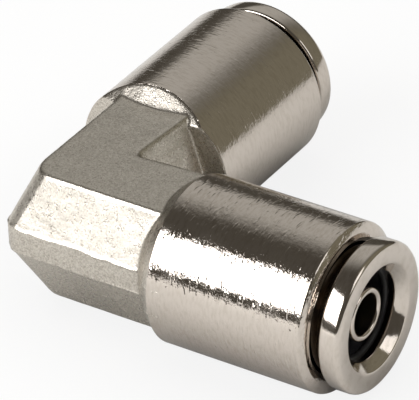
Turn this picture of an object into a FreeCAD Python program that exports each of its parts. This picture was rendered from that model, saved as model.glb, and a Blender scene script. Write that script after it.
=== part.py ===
"""Push-to-connect union elbow, 90 degrees, for 6.35 mm (1/4 in) air-brake tube.

A nickel-plated brass forging carries two identical tube ports.  Each port is a
stack of turned and moulded pieces that are dropped into a stepped bore and held
there by a pressed guide:

    tube support -> O-ring -> backup washer -> spacer -> guide (pressed in)
    collet + grab ring inside the guide, wiper and release button on its mouth

Every port piece is drawn along +X from the crossing of the two port axes, and
its Placement carries it to port A (+X) or port B (+Y).  The part's origin is
under the middle of its bounding box, +Z up, millimetres.
"""
import FreeCAD, Part
import os
import Sketcher

from math import pi

from FreeCAD import Placement, Rotation, Vector

# Driving sizes, each set by itself (millimetres, degrees and counts).
SIZES = [
    # the tube that the ports take
    ("tube_radius", 3.175),
    ("tube_clearance", 0.125),
    ("socket_depth", 14.4),
    # elbow
    ("reach", 24.4),
    ("hub_start", 8.4),
    ("body_wall", 1.05),
    ("half_height", 5.15),
    ("half_width", 4.55),
    ("flat_half_width", 2.7),
    ("land_half_height", 1.0),
    ("outer_corner", 1.6),
    ("inner_corner", 0.5),
    ("shoulder_length", 0.7),
    ("shoulder_rise", 0.5),
    ("mouth_chamfer_length", 0.44),
    ("mouth_chamfer_depth", 0.71),
    ("drill_point", 1.26),
    # release button
    ("flange_thickness", 1.62),
    ("flange_radius", 5.55),
    ("flange_edge", 0.25),
    ("countersink", 0.7),
    ("lip_land", 0.6),
    ("skirt_wall", 0.6),
    ("skirt_length", 1.75),
    ("release_gap", 0.84),
    ("travel_margin", 0.1),
    # collet
    ("collet_wall", 0.8),
    ("collet_fit", 0.05),
    ("bead_height", 0.2),
    ("bead_width", 0.5),
    ("bead_setback", 0.35),
    ("head_height", 0.4),
    ("head_length", 0.85),
    ("head_clearance", 0.25),
    ("head_chamfer", 0.2),
    ("slot_width", 0.7),
    ("slot_length", 3.5),
    ("slot_count", 6),
    # grab ring
    ("ring_setback", 0.5),
    ("ring_thickness", 0.5),
    ("ring_depth", 0.45),
    ("ring_band", 0.33),
    ("tooth_bite", 0.12),
    ("tooth_width", 0.9),
    ("tooth_count", 12),
    ("ring_gap", 1.1),
    # wiper
    ("wiper_thickness", 0.6),
    ("wiper_squeeze", 0.05),
    # guide
    ("guide_wall", 0.5),
    ("guide_recess", 0.3),
    ("guide_length", 6.7),
    ("skirt_clearance", 0.1),
    ("guide_fit", 0.06),
    ("cone_gap", 0.1),
    ("cone_length", 1.4),
    ("cone_rise", 0.51),
    # seal stack
    ("spacer_flange", 1.0),
    ("spacer_nose", 0.3),
    ("seal_step", 0.6),
    ("washer_thickness", 0.5),
    ("seal_squeeze", 0.175),
    ("seal_clearance", 0.02),
    # tube support
    ("support_clearance", 0.075),
    ("support_wall", 0.58),
    ("tube_wall", 1.0),
    ("support_flange", 0.5),
    ("support_press", 1.6),
    ("tip_setback", 1.0),
    ("tip_taper", 0.17),
    ("tip_taper_length", 0.6),
]

# Sizes that follow, written as expressions.  x_ is a station along a port's axis
# from the crossing of the axes, and r_ is a radius about that axis.
FOLLOWING = [
    # radii, from the tube outwards
    ("r_pocket", "Sizes.tube_radius + Sizes.tube_clearance"),
    ("r_collet", "r_pocket + Sizes.collet_wall"),
    ("r_bead", "r_collet + Sizes.bead_height"),
    ("r_head", "r_collet + Sizes.head_height"),
    ("r_head_end", "r_head - Sizes.head_chamfer"),
    ("r_throat", "r_collet + Sizes.guide_fit"),
    ("r_guide_room", "r_throat + Sizes.cone_rise"),
    ("r_guide", "r_guide_room + Sizes.guide_wall + Sizes.guide_fit / 2"),
    ("r_body", "r_guide + Sizes.body_wall"),
    ("r_seal_bore", "r_guide - Sizes.seal_step"),
    ("r_seal_inner", "Sizes.tube_radius - Sizes.seal_squeeze"),
    ("r_seal_outer", "r_seal_bore - Sizes.seal_clearance"),
    ("r_seal_section", "(r_seal_outer - r_seal_inner) / 2"),
    ("r_seal_centre", "(r_seal_outer + r_seal_inner) / 2"),
    ("r_mouth", "r_body - Sizes.mouth_chamfer_depth"),
    ("r_shoulder", "r_body - Sizes.shoulder_rise"),
    ("r_button_room", "r_collet + Sizes.collet_fit"),
    ("r_button_groove", "r_bead + Sizes.collet_fit"),
    ("r_skirt", "r_button_room + Sizes.skirt_wall"),
    ("r_skirt_room", "r_skirt + Sizes.skirt_clearance"),
    ("r_countersink", "r_pocket + Sizes.countersink"),
    ("r_wiper_bore", "Sizes.tube_radius - Sizes.wiper_squeeze"),
    ("r_ring", "r_pocket + Sizes.ring_depth"),
    ("r_ring_band", "r_ring - Sizes.ring_band"),
    ("r_tooth", "Sizes.tube_radius - Sizes.tooth_bite"),
    ("r_support", "Sizes.tube_radius - Sizes.tube_wall - Sizes.support_clearance"),
    ("r_support_bore", "r_support - Sizes.support_wall"),
    ("r_tip", "r_support - Sizes.tip_taper"),
    # stations, from the button's face inwards
    ("travel", "Sizes.release_gap - Sizes.travel_margin"),
    ("x_button_back", "Sizes.reach - Sizes.flange_thickness"),
    ("x_countersink", "Sizes.reach - Sizes.countersink"),
    ("x_lip", "x_countersink - Sizes.lip_land"),
    ("x_wiper_front", "x_lip - Sizes.collet_fit"),
    ("x_collet_front", "x_wiper_front - Sizes.wiper_thickness"),
    ("x_bead_front", "x_collet_front - Sizes.bead_setback"),
    ("x_bead_back", "x_bead_front - Sizes.bead_width"),
    ("x_groove_front", "x_bead_front + Sizes.collet_fit"),
    ("x_groove_back", "x_bead_back - Sizes.collet_fit"),
    ("x_skirt_end", "x_button_back - Sizes.skirt_length"),
    ("x_body_end", "x_button_back - Sizes.release_gap"),
    ("x_chamfer", "x_body_end - Sizes.mouth_chamfer_length"),
    ("x_hub", "Sizes.hub_start + Sizes.shoulder_length"),
    ("x_guide_front", "x_body_end - Sizes.guide_recess"),
    ("x_skirt_room", "x_skirt_end - travel - Sizes.travel_margin"),
    ("x_guide_back", "x_guide_front - Sizes.guide_length"),
    ("x_collet_end", "x_guide_back + travel + Sizes.head_clearance"),
    ("x_head_chamfer", "x_collet_end + Sizes.head_chamfer"),
    ("x_head_front", "x_collet_end + Sizes.head_length"),
    ("x_sleeve_start", "x_head_front + Sizes.head_height * Sizes.cone_length / Sizes.cone_rise"),
    ("x_throat_back", "x_sleeve_start + Sizes.cone_gap"),
    ("x_cone_back", "x_throat_back - Sizes.cone_length"),
    ("x_ring_back", "x_collet_end + Sizes.ring_setback"),
    ("x_ring_front", "x_ring_back + Sizes.ring_thickness"),
    ("x_spacer_step", "x_guide_back - Sizes.spacer_flange"),
    ("x_spacer_back", "x_spacer_step - Sizes.spacer_nose"),
    ("x_washer_back", "x_spacer_back - Sizes.washer_thickness"),
    ("x_seal_centre", "x_washer_back - r_seal_section"),
    ("x_seal_end", "x_seal_centre - r_seal_section - Sizes.seal_clearance"),
    ("x_tube_stop", "Sizes.reach - Sizes.socket_depth"),
    ("x_pocket_end", "x_tube_stop - Sizes.support_flange"),
    ("x_support_end", "x_pocket_end - Sizes.support_press"),
    ("x_tip", "Sizes.reach - Sizes.tip_setback"),
    ("x_taper", "x_tip - Sizes.tip_taper_length"),
    # the forging's plan
    ("leg_run", "Sizes.hub_start + Sizes.inner_corner"),
    ("land_outer", "Sizes.half_width - Sizes.outer_corner"),
    ("land_inner", "Sizes.half_width + Sizes.inner_corner"),
    ("flat_outer", "Sizes.flat_half_width - Sizes.outer_corner"),
    ("flat_inner", "Sizes.flat_half_width + Sizes.inner_corner"),
    # half widths of the slots and notches
    ("slot_side", "Sizes.slot_width / 2"),
    ("split_side", "Sizes.ring_gap / 2"),
    ("notch_side", "r_ring_band * pi / Sizes.tooth_count - Sizes.tooth_width / 2"),
    ("x_drill_end", "-Sizes.drill_point"),
    ("x_axis_crossing", "0"),
    ("r_axis", "0"),
    # from the crossing of the axes to the middle of the bounding box
    ("box_offset", "(Sizes.reach - r_body) / 2"),
]

# Each port's name and the turn about +Z that brings +X to its axis.
PORTS = {"a": 0, "b": 90}

doc = FreeCAD.newDocument("push_to_connect_elbow")


# ---------------------------------------------------------------- sizes
def make_sizes():
    """Spreadsheet of the driving sizes: a note, the plain number and its alias."""
    sheet = doc.addObject("Spreadsheet::Sheet", "Sizes")
    for row, (alias, number) in enumerate(SIZES, start=1):
        sheet.set(f"A{row}", alias.replace("_", " "))
        sheet.set(f"B{row}", str(number))
        sheet.setAlias(f"B{row}", alias)
    doc.recompute()
    return sheet


def make_following():
    """Variable set whose values follow the spreadsheet by expressions."""
    values = doc.addObject("App::VarSet", "Following")
    for name, expression in FOLLOWING:
        values.addProperty("App::PropertyFloat", name, "Following")
        values.setExpression(name, expression)
    doc.recompute()
    return values


sheet = make_sizes()
following = make_following()
DRIVING = {alias for alias, _ in SIZES}


def reference(name):
    """Expression text for a named size, or for one with a minus sign."""
    if name.startswith("-"):
        return "-" + reference(name[1:])
    return f"Sizes.{name}" if name in DRIVING else f"Following.{name}"


def value(name):
    """Present value of a named size, or of one with a minus sign."""
    if name.startswith("-"):
        return -value(name[1:])
    return float(getattr(sheet if name in DRIVING else following, name))


# ---------------------------------------------------------------- drawing helpers
def origin_plane(body, role):
    """The body's own origin plane or axis with this role."""
    for feature in body.Origin.OriginFeatures:
        if feature.Role == role:
            return feature
    raise ValueError(f"{body.Label} has no {role}")


def add_sketch(body, name, plane="XY_Plane", turn=0):
    """Empty sketch on one of the body's origin planes, turned about its normal."""
    sketch = body.newObject("Sketcher::SketchObject", name)
    sketch.AttachmentSupport = [(origin_plane(body, plane), "")]
    sketch.MapMode = "FlatFace"
    sketch.AttachmentOffset = Placement(Vector(0, 0, 0), Rotation(Vector(0, 0, 1), turn))
    return sketch


def pin_point(sketch, geometry, vertex, names):
    """Hold one sketch vertex at two named sizes."""
    for kind, name in zip(("DistanceX", "DistanceY"), names):
        index = sketch.addConstraint(Sketcher.Constraint(kind, -1, 1, geometry, vertex, value(name)))
        sketch.setExpression(f"Constraints[{index}]", reference(name))


def draw_polygon(sketch, corners):
    """Closed outline through corners, each a pair of size names."""
    points = [Vector(value(x), value(y), 0) for x, y in corners]
    lines = [
        sketch.addGeometry(Part.LineSegment(start, end), False)
        for start, end in zip(points, points[1:] + points[:1])
    ]
    for line, follower in zip(lines, lines[1:] + lines[:1]):
        sketch.addConstraint(Sketcher.Constraint("Coincident", line, 2, follower, 1))
    for line, corner in zip(lines, corners):
        pin_point(sketch, line, 1, corner)
    return lines


def turn_profile(body, name, corners, kind="PartDesign::Revolution", turn=0):
    """Revolve an outline of (station, radius) corners about the sketch's own X."""
    sketch = add_sketch(body, f"{name}_outline", turn=turn)
    draw_polygon(sketch, corners)
    feature = body.newObject(kind, name)
    feature.Profile = sketch
    feature.ReferenceAxis = (sketch, ["H_Axis"])
    feature.Angle = 360
    doc.recompute()
    return feature


def circles_at(shape, station, radius):
    """Names of the circular edges about +X at a named station and radius."""
    names = []
    for number, edge in enumerate(shape.Edges, start=1):
        if not isinstance(edge.Curve, Part.Circle):
            continue
        off_station = abs(edge.Curve.Center.x - value(station))
        off_radius = abs(edge.Curve.Radius - value(radius))
        if max(off_station, off_radius) < 1e-6:
            names.append(f"Edge{number}")
    return names


def place(part, port):
    """Carry a piece drawn along +X to its port, and to the part's own origin."""
    part.Placement = Placement(Vector(0, 0, 0), Rotation(Vector(0, 0, 1), PORTS.get(port, 0)))
    for axis, expression in (
        ("x", "-Following.box_offset"),
        ("y", "-Following.box_offset"),
        ("z", "Following.r_body"),
    ):
        part.setExpression(f".Placement.Base.{axis}", expression)


def turned_piece(label, port, corners):
    """A piece that is one revolved outline."""
    body = doc.addObject("PartDesign::Body", label)
    turn_profile(body, f"{label}_turned", corners)
    place(body, port)
    return body


def cut_slots(body, name, slot, count=None):
    """Slot from the axis outwards, repeated count times about the axis.

    slot names the station it starts at, its half width, its depth and its length.
    """
    station, side, depth, length = slot
    sketch = add_sketch(body, f"{name}_outline", "YZ_Plane")
    sketch.setExpression(".AttachmentOffset.Base.z", reference(station))
    draw_polygon(
        sketch,
        [
            (f"-{side}", "r_axis"),
            (side, "r_axis"),
            (side, depth),
            (f"-{side}", depth),
        ],
    )
    before = body.Tip.Shape.Volume
    pocket = body.newObject("PartDesign::Pocket", name)
    pocket.Profile = sketch
    pocket.Reversed = True
    pocket.setExpression("Length", reference(length))
    doc.recompute()
    if not pocket.Shape.Volume < before:
        raise ValueError(f"{name} cuts nothing")
    if count is None:
        return
    pattern = body.newObject("PartDesign::PolarPattern", f"{name}_pattern")
    pattern.Originals = [pocket]
    pattern.Axis = (origin_plane(body, "X_Axis"), [""])
    pattern.Angle = 360
    pattern.setExpression("Occurrences", reference(count))
    body.Tip = pattern
    doc.recompute()


# ---------------------------------------------------------------- the elbow
def draw_elbow_outline(sketch, width, outer, inner):
    """Plan of both legs at one half width.

    The outer corner is an arc centred at (-outer, -outer) and the inner one at
    (inner, inner), both tangent to the legs' sides.
    """
    corners = [
        (inner, width),
        ("leg_run", width),
        ("leg_run", f"-{width}"),
        (f"-{outer}", f"-{width}"),
        (f"-{width}", f"-{outer}"),
        (f"-{width}", "leg_run"),
        (width, "leg_run"),
        (width, inner),
    ]
    points = [Vector(value(x), value(y), 0) for x, y in corners]
    lines = {}
    for number in (0, 1, 2, 4, 5, 6):
        line = sketch.addGeometry(Part.LineSegment(points[number], points[number + 1]), False)
        pin_point(sketch, line, 1, corners[number])
        lines[number] = line
    for number, follower in ((0, 1), (1, 2), (4, 5), (5, 6)):
        sketch.addConstraint(Sketcher.Constraint("Coincident", lines[number], 2, lines[follower], 1))
    for number in (2, 6):
        pin_point(sketch, lines[number], 2, corners[number + 1])

    up = Vector(0, 0, 1)
    for centre, along_y, along_x in ((f"-{outer}", (4, 1), (2, 2)), (inner, (6, 2), (0, 1))):
        middle = Vector(value(centre), value(centre), 0)
        radius = abs(abs(value(centre)) - value(width))
        circle = Part.Circle(middle, up, radius)
        arc = sketch.addGeometry(Part.ArcOfCircle(circle, pi, 1.5 * pi), False)
        for vertex, (number, end) in ((1, along_y), (2, along_x)):
            sketch.addConstraint(Sketcher.Constraint("Coincident", arc, vertex, lines[number], end))
        index = sketch.addConstraint(Sketcher.Constraint("DistanceX", -1, 1, arc, 3, value(centre)))
        sketch.setExpression(f"Constraints[{index}]", reference(centre))


def elbow_outline(body, name, width, outer, inner, level):
    """Sketch of both legs' plan at a named height."""
    sketch = add_sketch(body, name)
    sketch.setExpression(".AttachmentOffset.Base.z", reference(level))
    draw_elbow_outline(sketch, width, outer, inner)
    return sketch


def make_forging(body):
    """Band at the parting line, then drafted sides up and down to the flats."""
    land_sketch = elbow_outline(
        body, "land_outline", "half_width", "land_outer", "land_inner", "-land_half_height"
    )
    land = body.newObject("PartDesign::Pad", "land")
    land.Profile = land_sketch
    land.setExpression("Length", "Sizes.land_half_height * 2")
    doc.recompute()
    for side, sign in (("upper", ""), ("lower", "-")):
        root = elbow_outline(
            body, f"{side}_root", "half_width", "land_outer", "land_inner", f"{sign}land_half_height"
        )
        flat = elbow_outline(
            body, f"{side}_flat", "flat_half_width", "flat_outer", "flat_inner", f"{sign}half_height"
        )
        loft = body.newObject("PartDesign::AdditiveLoft", f"{side}_draft")
        loft.Profile = root
        loft.Sections = [flat]
        loft.Ruled = True
        doc.recompute()


def add_fillet(body, name, base, edges, radius):
    """Fillet of a named radius on some edges of the feature before it."""
    fillet = body.newObject("PartDesign::Fillet", name)
    fillet.Base = (base, edges)
    fillet.Radius = value(radius)
    fillet.setExpression("Radius", reference(radius))
    doc.recompute()
    return fillet


def make_elbow():
    """Forged block with two turned hubs and their stepped bores."""
    body = doc.addObject("PartDesign::Body", "elbow_body")
    make_forging(body)
    for port, turn in PORTS.items():
        turn_profile(
            body,
            f"hub_{port}",
            [
                ("hub_start", "r_axis"),
                ("hub_start", "r_shoulder"),
                ("x_hub", "r_body"),
                ("x_chamfer", "r_body"),
                ("x_body_end", "r_mouth"),
                ("x_body_end", "r_axis"),
            ],
            turn=turn,
        )
    for port, turn in PORTS.items():
        turn_profile(
            body,
            f"bore_{port}",
            [
                ("x_drill_end", "r_axis"),
                ("x_axis_crossing", "r_support"),
                ("x_pocket_end", "r_support"),
                ("x_pocket_end", "r_pocket"),
                ("x_seal_end", "r_pocket"),
                ("x_seal_end", "r_seal_bore"),
                ("x_spacer_step", "r_seal_bore"),
                ("x_spacer_step", "r_guide"),
                ("reach", "r_guide"),
                ("reach", "r_axis"),
            ],
            kind="PartDesign::Groove",
            turn=turn,
        )
    place(body, None)
    return body


# ---------------------------------------------------------------- port pieces
def make_tube_support(port):
    """Thin brass sleeve that holds the tube's wall out, pressed into the passage."""
    return turned_piece(
        f"tube_support_{port}",
        port,
        [
            ("x_support_end", "r_support_bore"),
            ("x_support_end", "r_support"),
            ("x_pocket_end", "r_support"),
            ("x_pocket_end", "r_pocket"),
            ("x_tube_stop", "r_pocket"),
            ("x_tube_stop", "r_support"),
            ("x_taper", "r_support"),
            ("x_tip", "r_tip"),
            ("x_tip", "r_support_bore"),
        ],
    )


def make_o_ring(port):
    """Round-section seal at the bottom of the seal bore."""
    ring = doc.addObject("Part::Torus", f"o_ring_{port}")
    turn = PORTS[port]
    axis_turn = Rotation(Vector(0, 0, 1), Vector(1, 0, 0))
    ring.Placement = Placement(Vector(0, 0, 0), Rotation(Vector(0, 0, 1), turn) * axis_turn)
    ring.setExpression("Radius1", reference("r_seal_centre"))
    ring.setExpression("Radius2", reference("r_seal_section"))
    along, across = ("x", "y") if turn == 0 else ("y", "x")
    ring.setExpression(f".Placement.Base.{along}", "Following.x_seal_centre - Following.box_offset")
    ring.setExpression(f".Placement.Base.{across}", "-Following.box_offset")
    ring.setExpression(".Placement.Base.z", "Following.r_body")
    return ring


def make_backup_washer(port):
    """Flat ring that keeps the O-ring from being squeezed past the tube."""
    return turned_piece(
        f"backup_washer_{port}",
        port,
        [
            ("x_washer_back", "r_pocket"),
            ("x_washer_back", "r_seal_bore"),
            ("x_spacer_back", "r_seal_bore"),
            ("x_spacer_back", "r_pocket"),
        ],
    )


def make_spacer(port):
    """Flanged ring on the bore's step, held there by the guide."""
    return turned_piece(
        f"spacer_{port}",
        port,
        [
            ("x_spacer_back", "r_pocket"),
            ("x_spacer_back", "r_seal_bore"),
            ("x_spacer_step", "r_seal_bore"),
            ("x_spacer_step", "r_guide"),
            ("x_guide_back", "r_guide"),
            ("x_guide_back", "r_pocket"),
        ],
    )


def make_guide(port):
    """Pressed brass ring whose cone closes the collet's fingers on the tube."""
    return turned_piece(
        f"guide_{port}",
        port,
        [
            ("x_guide_back", "r_guide_room"),
            ("x_guide_back", "r_guide"),
            ("x_guide_front", "r_guide"),
            ("x_guide_front", "r_skirt_room"),
            ("x_skirt_room", "r_skirt_room"),
            ("x_skirt_room", "r_throat"),
            ("x_throat_back", "r_throat"),
            ("x_cone_back", "r_guide_room"),
        ],
    )


def make_collet(port):
    """Slotted sleeve: a snap bead for the button, coned finger heads at the other end."""
    body = turned_piece(
        f"collet_{port}",
        port,
        [
            ("x_collet_end", "r_pocket"),
            ("x_collet_end", "r_head_end"),
            ("x_head_chamfer", "r_head"),
            ("x_head_front", "r_head"),
            ("x_sleeve_start", "r_collet"),
            ("x_bead_back", "r_collet"),
            ("x_bead_back", "r_bead"),
            ("x_bead_front", "r_bead"),
            ("x_bead_front", "r_collet"),
            ("x_collet_front", "r_collet"),
            ("x_collet_front", "r_pocket"),
            ("x_ring_front", "r_pocket"),
            ("x_ring_front", "r_ring"),
            ("x_ring_back", "r_ring"),
            ("x_ring_back", "r_pocket"),
        ],
    )
    slot = ("x_collet_end", "slot_side", "r_bead", "slot_length")
    cut_slots(body, f"collet_slot_{port}", slot, "slot_count")
    return body


def make_grab_ring(port):
    """Split stainless ring in the fingers' groove, with teeth that bite the tube."""
    body = turned_piece(
        f"grab_ring_{port}",
        port,
        [
            ("x_ring_back", "r_tooth"),
            ("x_ring_back", "r_ring"),
            ("x_ring_front", "r_ring"),
            ("x_ring_front", "r_ring_band"),
        ],
    )
    notch = ("x_ring_back", "notch_side", "r_ring_band", "ring_thickness")
    split = ("x_ring_back", "split_side", "r_bead", "ring_thickness")
    cut_slots(body, f"grab_ring_notch_{port}", notch, "tooth_count")
    cut_slots(body, f"grab_ring_split_{port}", split)
    return body


def make_wiper(port):
    """Rubber ring behind the button's lip that keeps grit off the tube."""
    return turned_piece(
        f"wiper_{port}",
        port,
        [
            ("x_collet_front", "r_wiper_bore"),
            ("x_collet_front", "r_collet"),
            ("x_wiper_front", "r_collet"),
            ("x_wiper_front", "r_wiper_bore"),
        ],
    )


def make_release_button(port):
    """Plated brass flange with a countersunk mouth and a skirt that snaps on the collet."""
    body = turned_piece(
        f"release_button_{port}",
        port,
        [
            ("x_lip", "r_pocket"),
            ("x_lip", "r_button_room"),
            ("x_groove_front", "r_button_room"),
            ("x_groove_front", "r_button_groove"),
            ("x_groove_back", "r_button_groove"),
            ("x_groove_back", "r_button_room"),
            ("x_skirt_end", "r_button_room"),
            ("x_skirt_end", "r_skirt"),
            ("x_button_back", "r_skirt"),
            ("x_button_back", "flange_radius"),
            ("reach", "flange_radius"),
            ("reach", "r_countersink"),
            ("x_countersink", "r_pocket"),
        ],
    )
    turned = body.Tip
    rims = circles_at(turned.Shape, "reach", "flange_radius")
    rims += circles_at(turned.Shape, "x_button_back", "flange_radius")
    add_fillet(body, f"flange_rim_{port}", turned, rims, "flange_edge")
    return body


# ---------------------------------------------------------------- build, check, write
MAKERS = [
    make_tube_support,
    make_o_ring,
    make_backup_washer,
    make_spacer,
    make_guide,
    make_collet,
    make_grab_ring,
    make_wiper,
    make_release_button,
]


def check_model(pieces):
    """Stop on a failed object, or on a piece that isn't one valid solid."""
    for item in doc.Objects:
        if "Invalid" in item.State or "Error" in item.State:
            raise ValueError(f"{item.Label} failed: {item.State}")
    for piece in pieces:
        shape = piece.Shape
        if shape.isNull() or not shape.isValid() or len(shape.Solids) != 1:
            raise ValueError(f"{piece.Label} is not one valid solid")


def write_pieces(pieces):
    """One STEP file per piece, named after its label."""
    os.makedirs("parts", exist_ok=True)
    for piece in pieces:
        piece.Shape.exportStep(f"parts/{piece.Label}.step")
        print(f"{piece.Label:18s} {piece.Shape.Volume:9.2f} mm3")


pieces = [make_elbow()] + [make(port) for port in PORTS for make in MAKERS]
doc.recompute()
check_model(pieces)
write_pieces(pieces)
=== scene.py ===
"""A push-to-connect union elbow for air tube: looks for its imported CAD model.

The sections follow the fitting as it is put together, from the forged body to the
release buttons, and then the studio.  Shapes are drawn in millimetres about the
crossing of the two ports, along +X, and are set in place and scaled at the end.
"""

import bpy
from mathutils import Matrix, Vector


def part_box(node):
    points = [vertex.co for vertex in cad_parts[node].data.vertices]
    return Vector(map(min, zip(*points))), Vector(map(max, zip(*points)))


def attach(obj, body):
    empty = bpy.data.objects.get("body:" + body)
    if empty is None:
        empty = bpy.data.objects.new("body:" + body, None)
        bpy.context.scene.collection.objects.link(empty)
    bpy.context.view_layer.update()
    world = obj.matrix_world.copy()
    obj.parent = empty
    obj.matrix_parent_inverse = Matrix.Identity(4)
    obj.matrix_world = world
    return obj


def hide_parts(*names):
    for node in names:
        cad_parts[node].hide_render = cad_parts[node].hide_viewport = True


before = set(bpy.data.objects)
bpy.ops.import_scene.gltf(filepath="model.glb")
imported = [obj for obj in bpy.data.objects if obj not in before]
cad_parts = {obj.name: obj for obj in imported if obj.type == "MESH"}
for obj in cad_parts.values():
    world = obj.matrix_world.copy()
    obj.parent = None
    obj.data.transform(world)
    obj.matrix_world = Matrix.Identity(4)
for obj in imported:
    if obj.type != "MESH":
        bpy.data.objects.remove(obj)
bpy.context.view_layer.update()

import math

import bmesh
import bpy
from mathutils import Matrix, Vector, noise

# ---------------------------------------------------------------- elbow body
# A brass blank, hot forged between two dies, then bead blasted and nickel plated.
# Both hubs are turned after forging and bored for the port pieces, so they are
# smooth, while the block between them keeps its speckled forged skin, whose dark
# specks in the pits are painted shade.
MM = 0.001
body_low, body_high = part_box("elbow_body")
hub_radius = (body_high.z - body_low.z) / 2 / MM
reach = 24.4
crossing = Vector(
    (
        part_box("release_button_a")[1].x - reach * MM,
        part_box("release_button_b")[1].y - reach * MM,
        (body_low.z + body_high.z) / 2,
    )
)
hub_end = (body_high.x - crossing.x) / MM
PORT_TURN = {"a": 0.0, "b": math.pi / 2}

block_half_height = 5.15
block_half_width = 4.55
flat_half_width = 2.7
flat_half_width_at_hub = 3.2
parting_half_height = 1.0
parting_side_rise = block_half_height - parting_half_height
parting_side_run = 1.6
leg_run = 9.3
outer_corner, inner_corner, soft_edge = 1.7, 0.4, 0.24

# Where each hub rises from the block: (station, radius) corners, and for hub b draft
# faces too, which leave the block at shoulder_start and rise that much per millimetre.
SHOULDER_FOOT = {"a": ((7.35, 4.5), (8.5, 5.75), (9.15, 6.25)), "b": ((7.4, 6.25),)}
shoulder_start = 8.35
shoulder_core_end = 10.4
crown_rise, side_rise = 0.88, 3.5
crown_centre = 5.0
CROWN_LEANS = (-18, -9, 0, 9, 18)

mouth_radius = hub_radius - 0.62
mouth_chamfer = 0.3
passage_radius, drill_point = 2.1, 1.26
pocket_start, pocket_radius = 9.5, 3.3
seal_bore_start, seal_bore_radius = 11.54, 4.6
guide_bore_start, bore_radius = 13.94, 5.2
edge_break_depth, edge_break, cutter_overrun = 0.06, 0.03, 0.1
turned_set_back, turned_over_forged = 0.08, 0.02
smallest_edge = 0.002

# The forged skin: (height, hills per mm, shift), and the flash that the dies leave in a
# low wavering ridge along the parting line, on the outer sides only.
skin_step = 0.1
skin_inset = 0.02
SKIN_HILLS = ((0.022, 0.5, (0, 0, 0)), (0.008, 1.3, (7, 3, 5)), (0.003, 3.4, (1, 9, 4)))
FLASH_WAVER = ((0.12, 0.55), (0.05, 2.1))
flash_height, flash_roughness, flash_width = 0.05, 0.03, 0.09
flash_skin_depth, flash_outer_side = 0.4, -3

NICKEL = (0.66, 0.60, 0.545)
NICKEL_DULL = (0.58, 0.52, 0.46)
NICKEL_BLASTED = (0.70, 0.655, 0.59)
# Darker nickel painted into the pits' hollows: painted shade.
NICKEL_PIT_SHADE = (0.42, 0.38, 0.33)


def new_finish(name, colour, metallic, roughness):
    """A material with one shader, and the tree that its patterns go into."""
    finish = bpy.data.materials.new(name)
    finish.use_nodes = True
    shader = finish.node_tree.nodes["Principled BSDF"]
    shader.inputs["Base Color"].default_value = (*colour, 1)
    shader.inputs["Metallic"].default_value = metallic
    shader.inputs["Roughness"].default_value = roughness
    return finish, finish.node_tree, shader


def grain(tree, per_mm, detail=3.0, roughness=0.55):
    """Noise with that many spots per millimetre along x, y and z."""
    place = tree.nodes.new("ShaderNodeTexCoord")
    scale = tree.nodes.new("ShaderNodeMapping")
    scale.inputs["Scale"].default_value = [each / MM for each in per_mm]
    spots = tree.nodes.new("ShaderNodeTexNoise")
    spots.inputs["Scale"].default_value = 1.0
    spots.inputs["Detail"].default_value = detail
    spots.inputs["Roughness"].default_value = roughness
    tree.links.new(place.outputs["Object"], scale.inputs["Vector"])
    tree.links.new(scale.outputs["Vector"], spots.inputs["Vector"])
    return spots.outputs["Fac"]


def spread(tree, pattern, low, high, to_low, to_high):
    """Stretch a pattern's range onto another one."""
    stretch = tree.nodes.new("ShaderNodeMapRange")
    ends = {"From Min": low, "From Max": high, "To Min": to_low, "To Max": to_high}
    for socket, number in ends.items():
        stretch.inputs[socket].default_value = number
    tree.links.new(pattern, stretch.inputs["Value"])
    return stretch.outputs["Result"]


def tint(tree, pattern, stops):
    """Colours at places along a pattern's range."""
    ramp = tree.nodes.new("ShaderNodeValToRGB")
    elements = ramp.color_ramp.elements
    while len(elements) < len(stops):
        elements.new(0.5)
    for element, (place, colour) in zip(elements, stops):
        element.position = place
        element.color = (*colour, 1)
    tree.links.new(pattern, ramp.inputs["Fac"])
    return ramp.outputs["Color"]


def relief(tree, pattern, depth, under=None):
    """Raise a pattern by its depth in millimetres, on top of another relief."""
    bump = tree.nodes.new("ShaderNodeBump")
    bump.inputs["Distance"].default_value = depth * MM
    bump.inputs["Strength"].default_value = 1.0
    tree.links.new(pattern, bump.inputs["Height"])
    if under:
        tree.links.new(under, bump.inputs["Normal"])
    return bump.outputs["Normal"]


def forged_nickel():
    finish, tree, shader = new_finish("forged_nickel", NICKEL, 1.0, 0.3)
    mottle = grain(tree, (3.0, 3.0, 3.0), 3.0, 0.6)
    pits = grain(tree, (9.0, 9.0, 9.0), 2.0, 0.6)
    # Painted shade: the colour darkens where the pit bumps dip, standing in for shade in the pits.
    # The lighter blasted tone on the rest is the plating's own.
    pit_shade_speckle = tint(tree, pits, [(0.3, NICKEL_PIT_SHADE), (0.58, NICKEL_BLASTED)])
    tree.links.new(pit_shade_speckle, shader.inputs["Base Color"])
    tree.links.new(spread(tree, mottle, 0.3, 0.7, 0.24, 0.34), shader.inputs["Roughness"])
    skin = relief(tree, mottle, 0.007)
    tree.links.new(relief(tree, pits, 0.017, under=skin), shader.inputs["Normal"])
    return finish


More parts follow.
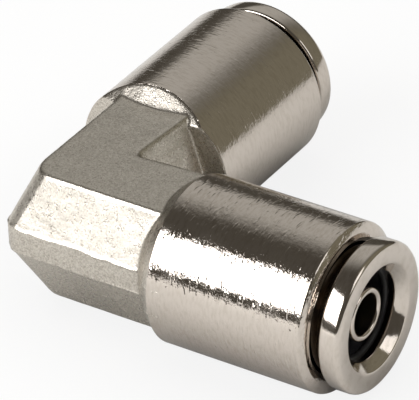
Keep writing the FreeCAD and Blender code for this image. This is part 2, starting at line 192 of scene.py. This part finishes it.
def turned_nickel(name, axis, roughness, depth, nick_depth=0.0):
    """Plating over tool marks: fine rings round one axis, crossed by short strokes and dimples."""
    finish, tree, shader = new_finish(name, NICKEL, 1.0, roughness)
    rings = grain(tree, [11.0 if along == axis else 0.3 for along in range(3)], 3.0, 0.6)
    strokes = grain(tree, [5.0 if along == axis else 1.5 for along in range(3)], 2.0, 0.5)
    dimples = grain(tree, (3.6, 3.6, 3.6), 3.0, 0.6)
    clouds = grain(tree, (0.5, 0.5, 0.5), 2.0)
    plating = tint(tree, strokes, [(0.25, NICKEL_DULL), (0.55, NICKEL)])
    tree.links.new(plating, shader.inputs["Base Color"])
    haze = spread(tree, clouds, 0.3, 0.7, roughness - 0.03, roughness + 0.05)
    tree.links.new(haze, shader.inputs["Roughness"])
    tool_marks = relief(tree, rings, depth * 0.4)
    crossed = relief(tree, strokes, depth, under=tool_marks)
    surface = relief(tree, dimples, depth, under=crossed)
    if nick_depth:
        nicks = grain(tree, [4.2 if along == axis else 1.1 for along in range(3)], 1.0, 0.5)
        surface = relief(tree, spread(tree, nicks, 0.58, 0.78, 0.0, 1.0), nick_depth, under=surface)
    tree.links.new(surface, shader.inputs["Normal"])
    return finish


def spin_outline(outline, steps=144):
    """A closed solid, turned about X from (station, radius, edge round) corners."""
    turned = bmesh.new()
    corners = [turned.verts.new((station, 0, radius)) for station, radius, _ in outline]
    turned.faces.new(corners)
    for size in sorted({edge for _, _, edge in outline if edge}):
        rounded = [corner for corner, (_, _, edge) in zip(corners, outline) if edge == size]
        bmesh.ops.bevel(
            turned, geom=rounded, offset=size, offset_type="OFFSET",
            segments=4 if size > 0.1 else 2, profile=0.5, affect="VERTICES", material=-1,
            clamp_overlap=True,
        )
    bmesh.ops.delete(turned, geom=turned.faces[:], context="FACES_ONLY")
    bmesh.ops.spin(
        turned, geom=turned.edges[:], cent=(0, 0, 0), axis=(1, 0, 0), dvec=(0, 0, 0),
        angle=math.tau, steps=steps, use_merge=True,
    )
    bmesh.ops.remove_doubles(turned, verts=turned.verts, dist=0.0005)
    bmesh.ops.recalc_face_normals(turned, faces=turned.faces)
    return turned


def drawing(name, shape, finishes=(), turn=0.0):
    """An object still in millimetres about the crossing, turned to its port."""
    shape.transform(Matrix.Rotation(turn, 4, "Z"))
    mesh = bpy.data.meshes.new(name)
    shape.to_mesh(mesh)
    shape.free()
    for finish in finishes:
        mesh.materials.append(finish)
    piece = bpy.data.objects.new(name, mesh)
    bpy.context.scene.collection.objects.link(piece)
    return piece


def shaped(piece):
    """The piece's mesh with its modifiers worked in."""
    bpy.context.view_layer.update()
    whole = piece.evaluated_get(bpy.context.evaluated_depsgraph_get())
    mesh = bpy.data.meshes.new_from_object(whole)
    piece.modifiers.clear()
    piece.data = mesh
    return mesh


def set_in_place(piece, sharp=32.0):
    """Scale a finished drawing to metres about the crossing and shade it smooth."""
    mesh = piece.data
    mesh.transform(Matrix.Translation(crossing) @ Matrix.Scale(MM, 4))
    mesh.shade_smooth()
    mesh.set_sharp_from_angle(angle=math.radians(sharp))
    flat_first = piece.modifiers.new("flat faces first", "WEIGHTED_NORMAL")
    flat_first.keep_sharp = True
    return piece


def shoulder_slopes():
    """Where each face of the block turns up to hub b: (direction, distance, steepness)."""
    for side in (-1, 1):
        for lean in map(math.radians, CROWN_LEANS):
            towards = Vector((0, math.sin(lean), side * math.cos(lean)))
            yield towards, block_half_height + crown_centre * (1 - math.cos(lean)), crown_rise
        yield Vector((0, side, 0)), block_half_width, side_rise
        for above in (-1, 1):
            across = Vector((0, side * parting_side_rise, above * parting_side_run)).normalized()
            foot = Vector((0, side * block_half_width, above * parting_half_height))
            yield across, across.dot(foot), side_rise


def hub_blank(port, radius, outer_end, later=0.0, steps=96):
    """A hub whose inner end slopes down to the block: a cone on a, draft faces on b."""
    foot = [(station + later, min(rise, radius), 0) for station, rise in SHOULDER_FOOT[port]]
    hub = spin_outline([(foot[0][0], 0, 0), *foot, *outer_end], steps=steps)
    for towards, distance, steepness in shoulder_slopes() if port == "b" else ():
        cut = bmesh.ops.bisect_plane(
            hub, geom=hub.verts[:] + hub.edges[:] + hub.faces[:], dist=1e-5,
            plane_co=Vector((shoulder_start + later, 0, 0)) + towards * distance,
            plane_no=(towards / steepness - Vector((1, 0, 0))).normalized(), clear_outer=True,
        )["geom_cut"]
        rim = [part for part in cut if isinstance(part, bmesh.types.BMEdge)]
        if rim:
            bmesh.ops.contextual_create(hub, geom=rim)
    bmesh.ops.recalc_face_normals(hub, faces=hub.faces)
    return hub


def forged_block():
    """The bent bar between the hubs: flat above and below, sloped to a parting band."""
    wide, narrow = block_half_width, flat_half_width
    hair = 0.01
    block = bmesh.new()
    corners = [
        (leg_run, -wide), (leg_run, wide), (wide, wide),
        (wide, leg_run), (-wide, leg_run), (-wide, -wide),
    ]
    middle = block.faces.new([block.verts.new((x, y, -parting_half_height)) for x, y in corners])
    lower = bmesh.ops.extrude_face_region(block, geom=[middle], use_keep_orig=True)["geom"]
    band = [face for face in lower if isinstance(face, bmesh.types.BMFace)]
    band_verts = band[0].verts[:]
    bmesh.ops.translate(block, verts=band_verts, vec=(0, 0, 2 * parting_half_height))
    for start, height in ((middle, -block_half_height), (band[0], block_half_height)):
        flat = [
            face
            for face in bmesh.ops.extrude_face_region(block, geom=[start])["geom"]
            if isinstance(face, bmesh.types.BMFace)
        ][0]
        for vert in flat.verts:
            vert.co.z = height
            inner = flat_half_width_at_hub if max(vert.co.x, vert.co.y) > leg_run - hair else narrow
            for along in range(2):
                if abs(vert.co[along]) < leg_run - hair:
                    vert.co[along] = inner if vert.co[along] > 0 else -narrow
    bmesh.ops.recalc_face_normals(block, faces=block.faces)

    def upright(edge):
        a, b = (vert.co for vert in edge.verts)
        return abs(a.z - b.z) > 0.1 and max(abs(a.x), abs(a.y)) < leg_run - hair

    def level(edge):
        a, b = (vert.co for vert in edge.verts)
        return abs(a.z - b.z) < hair and edge.calc_face_angle(0) > 0.2

    def at_leg_end(edge):
        return all(max(vert.co.x, vert.co.y) > leg_run - hair for vert in edge.verts)

    for inner, size, segments in ((False, outer_corner, 6), (True, inner_corner, 3)):
        bmesh.ops.bevel(
            block, geom=[e for e in block.edges if upright(e) and (e.verts[0].co.x > 0) == inner],
            offset=size, offset_type="OFFSET", segments=segments, profile=0.5, affect="EDGES",
            material=-1,
        )
    bmesh.ops.bevel(
        block, geom=[e for e in block.edges if level(e) and not at_leg_end(e)],
        offset=soft_edge, offset_type="OFFSET", segments=3, profile=0.5, affect="EDGES",
        material=-1, clamp_overlap=True,
    )
    return block


finishes = (
    forged_nickel(),
    turned_nickel("turned_nickel_a", 0, 0.08, 0.014, nick_depth=0.024),
    turned_nickel("turned_nickel_b", 1, 0.11, 0.011, nick_depth=0.010),
)
elbow = drawing("forged_elbow", forged_block(), finishes)
blank = bmesh.new()
blank.from_mesh(elbow.data)
for port, turn in PORT_TURN.items():
    under = hub_radius - turned_over_forged
    shoulder = hub_blank(port, under, [(shoulder_core_end, under, 0), (shoulder_core_end, 0, 0)])
    shoulder.transform(Matrix.Rotation(turn, 4, "Z"))
    stub = bpy.data.meshes.new("shoulder")
    shoulder.to_mesh(stub)
    shoulder.free()
    blank.from_mesh(stub)
blank.to_mesh(elbow.data)
blank.free()
skin = elbow.modifiers.new("one skin", "REMESH")
skin.mode = "VOXEL"
skin.voxel_size = skin_step
hide = shaped(elbow)


def swell_at(spot):
    """How far the forged skin stands out at a spot of it."""
    swell = sum(
        height * noise.noise(spot * per_mm + Vector(shift)) for height, per_mm, shift in SKIN_HILLS
    )
    furthest = max(abs(spot.x), abs(spot.y))
    if furthest > block_half_width - flash_skin_depth and min(spot.x, spot.y) < flash_outer_side:
        waver = sum(size * noise.noise(spot * per_mm) for size, per_mm in FLASH_WAVER)
        from_ridge = (abs(spot.z) - parting_half_height - waver) / flash_width
        ridge = flash_height + flash_roughness * noise.noise(spot * 1.7)
        swell += ridge * math.exp(-from_ridge * from_ridge)
    return swell - skin_inset


skinned = bmesh.new()
skinned.from_mesh(hide)
for _ in range(2):
    bmesh.ops.smooth_vert(
        skinned, verts=skinned.verts, factor=0.5, use_axis_x=True, use_axis_y=True, use_axis_z=True
    )
skinned.normal_update()
for vert in skinned.verts:
    vert.co += vert.normal * swell_at(vert.co)
skinned.to_mesh(hide)
skinned.free()

cutters = []
for number, (port, turn) in enumerate(PORT_TURN.items(), 1):
    turned_hub = hub_blank(
        port, hub_radius,
        [
            (hub_end - mouth_chamfer, hub_radius, 0.08), (hub_end, mouth_radius, 0.06),
            (hub_end, 0, 0),
        ],
        later=turned_set_back, steps=192,
    )
    hub = drawing(f"hub_{port}", turned_hub, finishes, turn)
    for face in hub.data.polygons:
        face.material_index = number
    bore = drawing(
        f"bore_{port}",
        spin_outline(
            [
                (-drill_point, 0, 0), (0, passage_radius, 0),
                (pocket_start, passage_radius, 0), (pocket_start, pocket_radius, 0),
                (seal_bore_start, pocket_radius, 0), (seal_bore_start, seal_bore_radius, 0),
                (guide_bore_start, seal_bore_radius, 0), (guide_bore_start, bore_radius, 0),
                (hub_end - edge_break_depth, bore_radius, 0),
                (hub_end + cutter_overrun, bore_radius + edge_break, 0),
                (hub_end + cutter_overrun, 0, 0),
            ],
            steps=96,
        ),
        finishes,
        turn,
    )
    for face in bore.data.polygons:
        face.material_index = number
    cutters += [(hub, "UNION"), (bore, "DIFFERENCE")]
for tool, operation in sorted(cutters, key=lambda pair: pair[1], reverse=True):
    cut = elbow.modifiers.new(tool.name, "BOOLEAN")
    cut.operation = operation
    cut.solver = "EXACT"
    cut.object = tool
shaped(elbow)
for tool, _ in cutters:
    bpy.data.objects.remove(tool)
cleaned = bmesh.new()
cleaned.from_mesh(elbow.data)
bmesh.ops.remove_doubles(cleaned, verts=cleaned.verts, dist=smallest_edge)
bmesh.ops.dissolve_degenerate(cleaned, edges=cleaned.edges, dist=smallest_edge)
cleaned.to_mesh(elbow.data)
cleaned.free()
set_in_place(elbow, sharp=35)
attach(elbow, "fitting")
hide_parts("elbow_body")

# ---------------------------------------------------------------- tube supports
# Thin brass sleeves, nickel plated, pressed into the passage.  The air tube slides
# over them, and their rims are rolled a little inwards so that it finds its way.
support_low, support_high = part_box("tube_support_a")
support_press, support_tip = ((end - crossing.x) / MM for end in (support_low.x, support_high.x))
support_radius, support_bore, support_tip_radius = 2.1, 1.52, 1.93
support_taper_start = 22.8
stop_flange_radius, stop_flange_thickness = 3.3, 0.5
stop_flange_front = pocket_start + stop_flange_thickness
support_finish = {
    port: turned_nickel(f"support_nickel_{port}", number, 0.14, 0.003)
    for number, port in enumerate(PORT_TURN)
}
for port, turn in PORT_TURN.items():
    sleeve = drawing(
        f"support_sleeve_{port}",
        spin_outline(
            [
                (support_press, support_bore, 0.05), (support_press, support_radius, 0.05),
                (pocket_start, support_radius, 0.05), (pocket_start, stop_flange_radius, 0.05),
                (stop_flange_front, stop_flange_radius, 0.05),
                (stop_flange_front, support_radius, 0.1),
                (support_taper_start, support_radius, 0.15),
                (support_tip, support_tip_radius, 0.15), (support_tip, support_bore, 0.2),
            ],
            steps=96,
        ),
        [support_finish[port]],
        turn,
    )
    set_in_place(sleeve)
    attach(sleeve, "fitting")
    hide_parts(f"tube_support_{port}")

# ---------------------------------------------------------------- seals and their seats
# A moulded rubber O-ring seals on the tube.  A PTFE washer backs it, and a turned
# brass spacer and a pressed brass guide hold both down in the bore.


def moulded(name, colour, roughness, mark_depth):
    """Rubber or plastic with a fine satin skin."""
    finish, tree, shader = new_finish(name, colour, 0.0, roughness)
    skin_marks = grain(tree, (6, 6, 6), 3.0)
    darker = tuple(0.7 * part for part in colour)
    clouded = tint(tree, grain(tree, (1.2, 1.2, 1.2)), [(0.35, darker), (0.65, colour)])
    tree.links.new(clouded, shader.inputs["Base Color"])
    satin = spread(tree, skin_marks, 0.3, 0.7, roughness - 0.05, roughness + 0.08)
    tree.links.new(satin, shader.inputs["Roughness"])
    tree.links.new(relief(tree, skin_marks, mark_depth), shader.inputs["Normal"])
    return finish


# Brass colours painted near-black: painted shade for the dark gap between the body's mouth and the
# release button, where the guide shows. The mix between the two darker tones is random stain tone.
BRASS_GAP_SHADE, BRASS_GAP_SHADE_STAINED, BRASS_GAP_SHADE_WORN = (0.07, 0.055, 0.04), (0.045, 0.037, 0.03), (0.085, 0.067, 0.048)
RUBBER_BLACK, PTFE_WHITE = (0.018, 0.018, 0.019), (0.82, 0.81, 0.78)


def turned_brass(name, axis):
    # Base colour is painted shade of the gap between body and button, with random stain tone and
    # tool rings on top.
    finish, tree, shader = new_finish(name, BRASS_GAP_SHADE, 1.0, 0.34)
    rings = grain(tree, [10.0 if along == axis else 0.4 for along in range(3)], 4.0, 0.7)
    stain = grain(tree, (0.9, 0.9, 0.9), 3.0)
    tree.links.new(
        tint(tree, stain, [(0.3, BRASS_GAP_SHADE_STAINED), (0.62, BRASS_GAP_SHADE_WORN)]), shader.inputs["Base Color"]
    )
    tree.links.new(spread(tree, stain, 0.3, 0.7, 0.28, 0.44), shader.inputs["Roughness"])
    tree.links.new(relief(tree, rings, 0.004), shader.inputs["Normal"])
    return finish


def dress(node, finish):
    """Give a CAD node its material in every slot."""
    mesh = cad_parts[node].data
    mesh.materials.clear()
    mesh.materials.append(finish)


seal_rubber = moulded("seal_rubber", RUBBER_BLACK, 0.42, 0.004)
washer_ptfe = moulded("washer_ptfe", PTFE_WHITE, 0.4, 0.003)
for number, port in enumerate(PORT_TURN):
    brass = turned_brass(f"guide_brass_{port}", number)
    dress(f"o_ring_{port}", seal_rubber)
    dress(f"backup_washer_{port}", washer_ptfe)
    dress(f"spacer_{port}", brass)
    dress(f"guide_{port}", brass)

# ---------------------------------------------------------------- collets
# Moulded acetal sleeves whose six fingers close on the tube.  A stamped stainless
# ring sits in the fingers' groove, and a rubber wiper on the sleeve's outer end.
ACETAL_BLACK, STEEL = (0.022, 0.022, 0.024), (0.56, 0.55, 0.53)
collet_acetal = moulded("collet_acetal", ACETAL_BLACK, 0.38, 0.003)


def ring_steel():
    finish, tree, shader = new_finish("ring_steel", STEEL, 1.0, 0.3)
    scratches = grain(tree, (1.5, 9.0, 9.0), 4.0, 0.7)
    tree.links.new(spread(tree, scratches, 0.3, 0.7, 0.2, 0.42), shader.inputs["Roughness"])
    tree.links.new(relief(tree, scratches, 0.003), shader.inputs["Normal"])
    return finish


grab_steel = ring_steel()
wiper_back, wiper_front = ((end.x - crossing.x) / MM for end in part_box("wiper_a"))
wiper_outer_radius, wiper_root_radius = 4.1, 3.3
wiper_mouth_radius, wiper_lip_radius, wiper_lip_depth = 3.2, 3.125, 0.28
for port, turn in PORT_TURN.items():
    dress(f"collet_{port}", collet_acetal)
    dress(f"grab_ring_{port}", grab_steel)
    wiper = drawing(
        f"wiper_lip_{port}",
        spin_outline(
            [
                (wiper_back, wiper_root_radius, 0.05), (wiper_back, wiper_outer_radius, 0.05),
                (wiper_front, wiper_outer_radius, 0.05), (wiper_front, wiper_mouth_radius, 0.1),
                (wiper_front - wiper_lip_depth, wiper_lip_radius, 0.05),
            ],
            steps=96,
        ),
        [seal_rubber],
        turn,
    )
    set_in_place(wiper)
    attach(wiper, f"collet_{port}")
    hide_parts(f"wiper_{port}")

# ---------------------------------------------------------------- release buttons
# Turned brass flanges, plated bright.  A skirt behind each one snaps over the bead
# of its collet, and a countersunk mouth leads the tube in.
button_low, button_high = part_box("release_button_a")
skirt_end, button_face = ((end - crossing.x) / MM for end in (button_low.x, button_high.x))
flange_radius = (button_high.z - button_low.z) / 2 / MM
flange_thickness = 1.62
flange_back = button_face - flange_thickness
skirt_bore, skirt_radius = 4.15, 4.75
groove_back, groove_front, groove_radius = 21.55, 22.15, 4.35
countersink_radius, countersink_depth = 4.05, 0.72
throat_radius, throat_depth = 3.3, 1.3
for number, (port, turn) in enumerate(PORT_TURN.items()):
    button = drawing(
        f"button_flange_{port}",
        spin_outline(
            [
                (button_face - throat_depth, throat_radius, 0.05),
                (button_face - throat_depth, skirt_bore, 0.03),
                (groove_front, skirt_bore, 0.03), (groove_front, groove_radius, 0.03),
                (groove_back, groove_radius, 0.03), (groove_back, skirt_bore, 0.03),
                (skirt_end, skirt_bore, 0.05), (skirt_end, skirt_radius, 0.05),
                (flange_back, skirt_radius, 0.08), (flange_back, flange_radius, 0.25),
                (button_face, flange_radius, 0.42), (button_face, countersink_radius, 0.12),
                (button_face - countersink_depth, throat_radius, 0.12),
            ],
            steps=160,
        ),
        [turned_nickel(f"button_nickel_{port}", number, 0.09, 0.003)],
        turn,
    )
    set_in_place(button)
    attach(button, f"button_{port}")
    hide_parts(f"release_button_{port}")

# ---------------------------------------------------------------- studio
# The fitting lies on a pale sweep of card.  A wide soft box stands to the left in
# front of it, a smaller one to the right, a grey card behind, and dark cloth closes
# the rest of the room.
world = bpy.data.worlds.new("studio_room")
bpy.context.scene.world = world
world.use_nodes = True
room = world.node_tree
room.nodes.clear()


def room_node(kind, **settings):
    node = room.nodes.new(kind)
    for name, setting in settings.items():
        setattr(node, name, setting)
    return node


def fade(source, start, end, low=0.0, high=1.0):
    """A soft step from low to high as the source goes from start to end."""
    step = room_node("ShaderNodeMapRange", interpolation_type="SMOOTHSTEP")
    ends = {"From Min": start, "From Max": end, "To Min": low, "To Max": high}
    for socket, number in ends.items():
        step.inputs[socket].default_value = number
    room.links.new(source, step.inputs["Value"])
    return step.outputs["Result"]


def times(first, second):
    product = room_node("ShaderNodeMath", operation="MULTIPLY")
    room.links.new(first, product.inputs[0])
    room.links.new(second, product.inputs[1])
    return product.outputs["Value"]


def blend_colours(share, first, second):
    """From the first colour to the second, each a socket or a plain colour."""
    mix = room_node("ShaderNodeMixRGB")
    room.links.new(share, mix.inputs["Fac"])
    for socket, colour in (("Color1", first), ("Color2", second)):
        if isinstance(colour, tuple):
            mix.inputs[socket].default_value = (*colour, 1)
        else:
            room.links.new(colour, mix.inputs[socket])
    return mix.outputs["Color"]


facing = room_node("ShaderNodeTexCoord")
split = room_node("ShaderNodeSeparateXYZ")
room.links.new(facing.outputs["Generated"], split.inputs["Vector"])
along_x, along_y, along_z = (split.outputs[axis] for axis in "XYZ")
behind_right = times(fade(along_x, 0.05, 0.5), fade(along_y, -0.15, 0.35))
DARK_CLOTH = (0.085, 0.078, 0.066)
WARM_WALL = (0.22, 0.205, 0.155)
GREY_CARD = (0.515, 0.508, 0.48)
walls = blend_colours(behind_right, DARK_CLOTH, WARM_WALL)
card_height = times(fade(along_z, 0.33, 0.47), fade(along_y, 0.0, 0.55))
on_card = times(card_height, fade(along_x, -0.22, 0.42, 1.0, 0.0))
room_light = room_node("ShaderNodeBackground")
room.links.new(blend_colours(on_card, walls, GREY_CARD), room_light.inputs["Color"])
open_white = room_node("ShaderNodeBackground")
open_white.inputs["Color"].default_value = (1, 1, 1, 1)
seen = room_node("ShaderNodeLightPath")
either = room_node("ShaderNodeMixShader")
room_out = room_node("ShaderNodeOutputWorld")
room.links.new(seen.outputs["Is Camera Ray"], either.inputs["Fac"])
room.links.new(room_light.outputs["Background"], either.inputs[1])
room.links.new(open_white.outputs["Background"], either.inputs[2])
room.links.new(either.outputs["Shader"], room_out.inputs["Surface"])

sweep = bmesh.new()
bmesh.ops.create_grid(sweep, x_segments=1, y_segments=1, size=3.0)
sweep_mesh = bpy.data.meshes.new("sweep")
sweep.to_mesh(sweep_mesh)
sweep.free()
CARD_WHITE, CARD_SHADOW = (0.86, 0.86, 0.85), (0.34, 0.34, 0.335)
shadow_reach = 0.016
glow_share = 0.85
card, card_tree, card_shader = new_finish("pale_card", CARD_WHITE, 0.0, 0.9)
card_shade = card_tree.nodes.new("ShaderNodeAmbientOcclusion")
card_shade.inputs["Distance"].default_value = shadow_reach
card_tree.links.new(
    tint(card_tree, card_shade.outputs["AO"], [(0.35, CARD_SHADOW), (0.97, CARD_WHITE)]),
    card_shader.inputs["Base Color"],
)
card_glow = card_tree.nodes.new("ShaderNodeEmission")
card_glow.inputs["Strength"].default_value = 1.02
card_mix = card_tree.nodes.new("ShaderNodeMixShader")
card_seen = card_tree.nodes.new("ShaderNodeLightPath")
card_share = card_tree.nodes.new("ShaderNodeMath")
card_share.operation = "MULTIPLY"
card_share.inputs[1].default_value = glow_share
card_tree.links.new(card_seen.outputs["Is Camera Ray"], card_share.inputs[0])
card_tree.links.new(card_share.outputs["Value"], card_mix.inputs["Fac"])
card_tree.links.new(card_shader.outputs["BSDF"], card_mix.inputs[1])
card_tree.links.new(card_glow.outputs["Emission"], card_mix.inputs[2])
card_out = card_tree.nodes["Material Output"]
card_tree.links.new(card_mix.outputs["Shader"], card_out.inputs["Surface"])
sweep_mesh.materials.append(card)
floor = bpy.data.objects.new("floor", sweep_mesh)
bpy.context.scene.collection.objects.link(floor)


def soft_box(name, towards, distance, width, tall, brightness, in_gloss=True):
    """A lit panel that faces the fitting from a direction, bright as that radiance."""
    light = bpy.data.lights.new(name, "AREA")
    light.shape = "RECTANGLE"
    light.size, light.size_y = width, tall
    light.energy = brightness * math.pi * width * tall
    panel = bpy.data.objects.new(name, light)
    direction = Vector(towards).normalized()
    facing_in = direction.to_track_quat("Z", "Y").to_matrix().to_4x4()
    panel.matrix_world = Matrix.Translation(direction * distance) @ facing_in
    panel.visible_glossy = in_gloss
    bpy.context.scene.collection.objects.link(panel)
    return panel


soft_box("key_box", (-0.345, -0.775, 0.52), 0.45, 0.40, 0.29, 6.0)
soft_box("side_box", (0.82, 0.10, 0.56), 0.45, 0.19, 0.24, 1.3)
soft_box("sweep_fill", (0.0, -0.15, 1.0), 0.80, 0.9, 0.9, 0.55, in_gloss=False)
soft_box("rear_fill", (0.75, 0.55, 0.75), 0.60, 0.3, 0.3, 3.2, in_gloss=False)

lens_data = bpy.data.cameras.new("camera")
lens_data.lens = 399.05
lens_data.sensor_width = 36
lens_data.sensor_fit = "HORIZONTAL"
lens_data.clip_start = 0.05
lens_data.clip_end = 20
camera = bpy.data.objects.new("camera", lens_data)
bpy.context.scene.collection.objects.link(camera)
bpy.context.scene.camera = camera
camera_distance = 0.33336
azimuth, elevation, roll = (math.radians(angle) for angle in (34.494, 33.238, -2.746))
back = Vector(
    (
        math.sin(azimuth) * math.cos(elevation),
        -math.cos(azimuth) * math.cos(elevation),
        math.sin(elevation),
    )
)
right = Vector((math.cos(azimuth), math.sin(azimuth), 0))
up = back.cross(right)
rolled_right = right * math.cos(roll) + up * math.sin(roll)
rolled_up = up * math.cos(roll) - right * math.sin(roll)
aim = crossing + Vector((6.032, 6.781, 0)) * MM
turn_matrix = Matrix((rolled_right, rolled_up, back)).transposed().to_4x4()
camera.matrix_world = Matrix.Translation(aim + back * camera_distance) @ turn_matrix

bpy.context.scene.view_settings.view_transform = "Standard"
bpy.context.scene.view_settings.look = "None"
